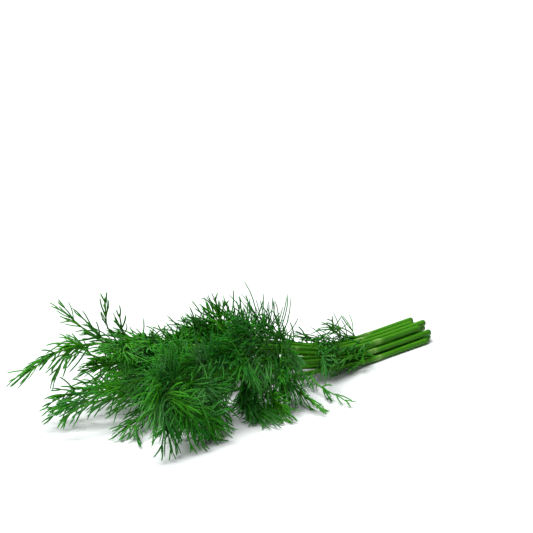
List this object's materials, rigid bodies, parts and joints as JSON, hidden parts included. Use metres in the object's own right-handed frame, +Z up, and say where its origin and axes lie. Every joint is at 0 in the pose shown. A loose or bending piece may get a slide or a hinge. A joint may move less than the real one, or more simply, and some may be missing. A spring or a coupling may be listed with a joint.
{
  "type": "dill bunch",
  "caption": "Bunch of fresh dill lying on its side: round bare stems at one end, feathery thread-like leaves spreading at the other.",
  "frame": {"origin": "on the surface that the bunch lies on, under the middle of its outline", "axes": "+Z up from the surface, +X along the bunch towards its cut stem ends, -X towards its leafy tips"},
  "size_m": [0.2687, 0.1121, 0.0646],
  "materials": {
    "dill": "fresh leaf green, soft sheen"
  },
  "bodies": {
    "root": {"dill_stem_01": "dill", "dill_stem_02": "dill", "dill_stem_03": "dill", "dill_stem_04": "dill", "dill_stem_05": "dill", "dill_stem_06": "dill", "dill_stem_07": "dill", "dill_stem_08": "dill", "dill_stem_09": "dill", "dill_stem_10": "dill", "dill_stem_11": "dill", "dill_stem_12": "dill", "dill_stem_13": "dill", "dill_stem_14": "dill", "dill_stem_15": "dill"}
  },
  "joints": []
}
